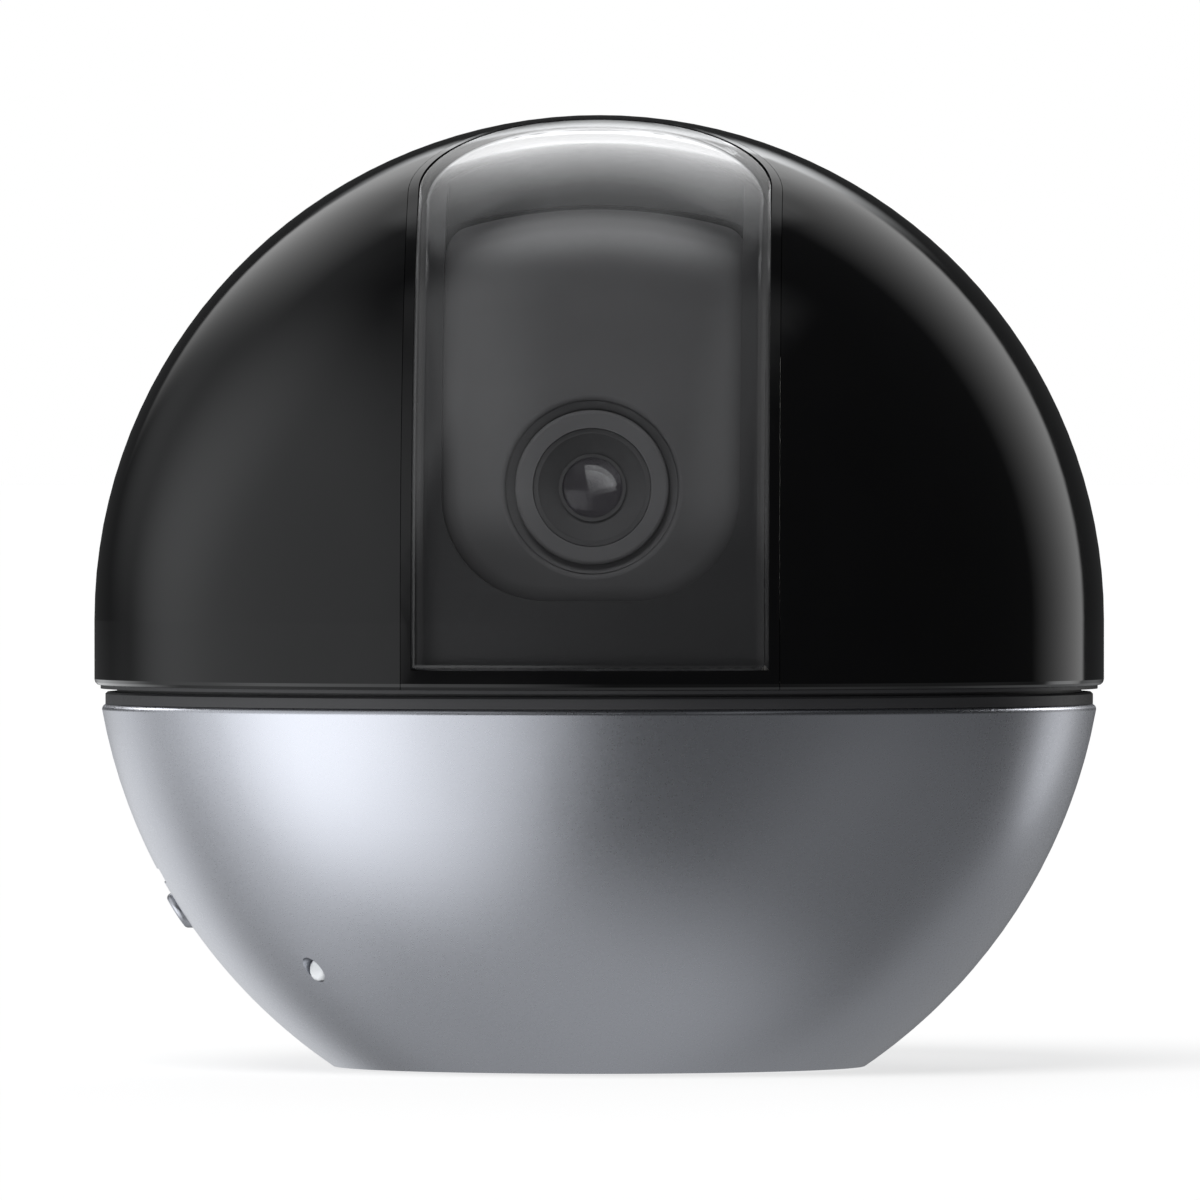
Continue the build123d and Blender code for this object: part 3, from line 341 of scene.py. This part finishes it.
joints = frame["record"]["behaviour"]["joints"]
tilt_at = Vector(next(joint["pos_m"] for joint in joints if joint["name"] == "tilt"))
collar_section = [
    (COLLAR_INSIDE, COLLAR_FRONT_INSIDE),
    (COLLAR_OUTSIDE, COLLAR_FRONT_OUTSIDE),
    (COLLAR_OUTSIDE, COLLAR_BACK),
    (COLLAR_INSIDE, COLLAR_BACK),
]
shape = bmesh.new()
rings = []
for radius, forward in collar_section:
    ring = []
    for step in range(COLLAR_STEPS):
        turn = 2 * pi * step / COLLAR_STEPS
        point = Vector((radius * cos(turn), -forward, radius * sin(turn)))
        ring.append(shape.verts.new(tilt_at + MM * point))
    rings.append(ring)
for here, there in zip(rings, rings[1:] + rings[:1]):
    for step in range(COLLAR_STEPS):
        after = (step + 1) % COLLAR_STEPS
        shape.faces.new((here[step], here[after], there[after], there[step]))
bmesh.ops.recalc_face_normals(shape, faces=shape.faces)
collar_mesh = bpy.data.meshes.new("port_collar")
shape.to_mesh(collar_mesh)
shape.free()
collar = bpy.data.objects.new("port_collar", collar_mesh)
scene.collection.objects.link(collar)
collar_mesh.materials.append(materials["face_plastic"])
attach(collar, "drum")


class Sky(Tree):
    """Node tree of the world, where light is set by its direction."""

    def __init__(self, tree):
        super().__init__(tree)
        self.direction = self.node("ShaderNodeTexCoord").outputs["Generated"]

    def cosine(self, towards):
        """Cosine of the angle between the ray and a direction."""
        length = sum(c * c for c in towards) ** 0.5
        made = self.node("ShaderNodeVectorMath", operation="DOT_PRODUCT")
        self.put(self.direction, made.inputs[0])
        made.inputs[1].default_value = [c / length for c in towards]
        return made.outputs["Value"]

    def lobe(self, towards, full, none, strength):
        """Soft patch of light: full strength within one angle of a direction, none beyond another."""
        near = self.cosine(towards)
        return self.ramp(near, cos(radians(none)), cos(radians(full)), 0.0, strength, soft=True)


# Studio: a soft surround, bright on the left and overhead, dark in front and on the right
BASE_LIGHT = 0.035
STUDIO_TINT = (0.97, 0.985, 1.0, 1)

world = bpy.data.worlds.new("studio")
scene.world = world
world.use_nodes = True
sky = Sky(world.node_tree)
across, away, height = sky.split(sky.direction)
sideways = sky.math("ABSOLUTE", across)

# Panel on the left with a straight front edge, and a weaker one behind it
panel_edge = sky.ramp(sky.cosine((-0.73, 0.68, 0)), -0.03, 0.05, soft=True)
panel = sky.product(panel_edge, sky.lobe((-0.97, -0.21, 0.09), full=22, none=58, strength=0.66))
panel_back = sky.lobe((-0.75, 0.50, 0.43), full=8, none=36, strength=0.17)

# Strip overhead, from behind the object to above it, brightest at its low end
strip = sky.product(
    sky.ramp(sideways, 0.10, 0.32, 1.0, 0.0, soft=True),
    sky.ramp(height, 0.27, 0.47, soft=True),
    sky.ramp(height, 0.47, 0.88, 3.0, 0.45),
    sky.ramp(away, -0.1, 0.3, soft=True),
)

# Bar right above the object, across it
bar = sky.product(
    sky.ramp(sideways, 0.20, 0.42, 0.85, 0.0, soft=True),
    sky.ramp(away, 0.0, 0.20, soft=True),
    sky.ramp(away, 0.23, 0.30, 1.0, 0.0, soft=True),
    sky.ramp(height, 0.5, 0.7),
)

# Wings of the strip, to the left and the right of it
WINGS_MIDDLE = -0.02
from_wings_middle = sky.math("ABSOLUTE", sky.math("SUBTRACT", across, WINGS_MIDDLE))
wings = sky.product(
    sky.ramp(from_wings_middle, 0.12, 0.26, 0.0, 0.42, soft=True),
    sky.ramp(from_wings_middle, 0.345, 0.405, 1.0, 0.0, soft=True),
    sky.ramp(height, 0.66, 0.76, soft=True),
    sky.ramp(height, 0.87, 0.90, 1.0, 0.0, soft=True),
    sky.ramp(away, 0.15, 0.25, soft=True),
)

# Faint strips above the object, one to the left of the window's line of sight and one to the right
sheen_left = sky.product(
    sky.ramp(across, -0.58, -0.47, 0.0, 0.36, soft=True),
    sky.ramp(across, -0.42, -0.10, 1.0, 0.0, soft=True),
)
sheen_right = sky.product(
    sky.ramp(across, 0.30, 0.44, 0.0, 0.2, soft=True),
    sky.ramp(across, 0.50, 0.60, 1.0, 0.0, soft=True),
)
sheen = sky.product(
    sky.total(sheen_left, sheen_right),
    sky.ramp(away, 0.20, -0.05, soft=True),
    sky.ramp(height, 0.25, 0.50, soft=True),
)

# Table around the object, brightest at the left front; each patch has a direction, two angles and a strength
TABLE_PATCHES = {
    "left front": ((-0.74, -0.62, -0.23), 16, 54, 1.05),
    "left": ((-0.88, 0.25, -0.35), 10, 38, 0.28),
    "left back": ((-0.43, 0.90, -0.08), 7, 32, 0.93),
    "under": ((-0.27, 0.10, -1.0), 20, 57, 0.36),
    "under right": ((0.60, -0.30, -0.70), 30, 70, 0.045),
    "right": ((0.76, 0.0, -0.65), 15, 45, 0.085),
    "right front": ((0.60, -0.67, -0.43), 20, 45, 0.035),
    "right back": ((0.37, 0.83, -0.42), 12, 34, 0.27),
    "right edge": ((0.68, 0.71, -0.18), 2, 10, 0.9),
}
table = sky.product(
    sky.ramp(height, 0.0, -0.12, soft=True),
    sky.total(*[sky.lobe(*patch) for patch in TABLE_PATCHES.values()]),
)

# Small lamp above the camera, a slice of a disc, that glints in the lens
GLINT_MIDDLE = (-0.02, -0.868, 0.495)
glint = sky.product(
    sky.lobe(GLINT_MIDDLE, full=5.9, none=6.3, strength=2.3),
    sky.ramp(sky.cosine((1.0, 0.0, 0.22)), 0.083, 0.090),
    sky.ramp(sky.cosine((-0.30, 0.47, 0.83)), -0.002, 0.005),
    sky.ramp(sky.cosine(GLINT_MIDDLE), cos(radians(1)), cos(radians(6)), 0.2, 1.0),
)

studio = sky.node("ShaderNodeBackground")
studio.inputs["Color"].default_value = STUDIO_TINT
light = sky.total(BASE_LIGHT, panel, panel_back, strip, bar, wings, table, sheen, glint)
sky.put(light, studio.inputs["Strength"])

# White background: the camera sees it everywhere, gloss and glass behind the object, round a dark middle
backdrop = sky.product(
    sky.ramp(sky.cosine((0, 1, 0)), cos(radians(62)), cos(radians(28)), 0.0, 0.9),
    sky.ramp(sky.cosine((0.07, 0.99, -0.06)), cos(radians(31)), cos(radians(28)), 1.0, 0.0, soft=True),
    sky.ramp(sky.cosine((0.8, 0, 0.6)), -0.27, 0.0, soft=True),
    sky.ramp(height, -0.30, -0.12, soft=True),
)
ray = sky.node("ShaderNodeLightPath").outputs
mirrored = sky.product(sky.math("MAXIMUM", ray["Is Glossy Ray"], ray["Is Transmission Ray"]), backdrop)
white = sky.node("ShaderNodeBackground")
white.inputs["Color"].default_value = (1, 1, 1, 1)
choose = sky.node("ShaderNodeMixShader")
sky.put(sky.math("MAXIMUM", ray["Is Camera Ray"], mirrored), choose.inputs["Fac"])
sky.put(studio.outputs[0], choose.inputs[1])
sky.put(white.outputs[0], choose.inputs[2])
sky.output(choose.outputs[0], "ShaderNodeOutputWorld")


def lamp(name, azimuth, elevation, spread, level):
    """Far lamp that shows in no gloss; its level is how bright it makes a white card turned to it."""
    data = bpy.data.lights.new(name, "SUN")
    data.angle = radians(spread)
    data.energy = level * pi
    made = bpy.data.objects.new(name, data)
    made.rotation_euler = (radians(90 - elevation), 0, radians(azimuth))
    made.visible_camera = False
    made.visible_glossy = False
    made.visible_transmission = False
    scene.collection.objects.link(made)
    return made


# Soft lamps for matt surfaces: one high at the left front, one low in front
lamp("key_lamp", azimuth=-22, elevation=56, spread=34, level=0.62)
lamp("front_lamp", azimuth=0, elevation=-12, spread=30, level=0.4)

# Two lamps behind the object, left and right, that light the bowl alone and gleam on its rim
rim_lit = bpy.data.collections.new("rim_lit")
rim_lit.objects.link(nodes["bowl"])
for side, azimuth in (("left", -136), ("right", 138)):
    rim_lamp = lamp("rim_lamp_" + side, azimuth, elevation=22, spread=20, level=0.1)
    rim_lamp.visible_glossy = True
    rim_lamp.light_linking.receiver_collection = rim_lit

# Floor: pale, seen by the camera alone, with the shadow of the object on it
FLOOR_HALF = 40.0
FLOOR_TONE = 0.35
FLOOR_LIFT = 0.72

floor_mesh = bpy.data.meshes.new("floor")
corners = [(-1, -1), (1, -1), (1, 1), (-1, 1)]
floor_mesh.from_pydata([(x * FLOOR_HALF, y * FLOOR_HALF, 0) for x, y in corners], [], [(0, 1, 2, 3)])
floor = bpy.data.objects.new("floor", floor_mesh)
scene.collection.objects.link(floor)
floor.visible_diffuse = False
floor.visible_glossy = False
floor.visible_transmission = False
floor.visible_shadow = False
floor_paint, t = new_material("floor")
matt = t.node("ShaderNodeBsdfDiffuse")
matt.inputs["Color"].default_value = (FLOOR_TONE, FLOOR_TONE, FLOOR_TONE, 1)
glow = t.node("ShaderNodeEmission")
glow.inputs["Strength"].default_value = FLOOR_LIFT
both = t.node("ShaderNodeAddShader")
t.put(matt.outputs[0], both.inputs[0])
t.put(glow.outputs[0], both.inputs[1])
t.output(both.outputs[0])
floor_mesh.materials.append(floor_paint)
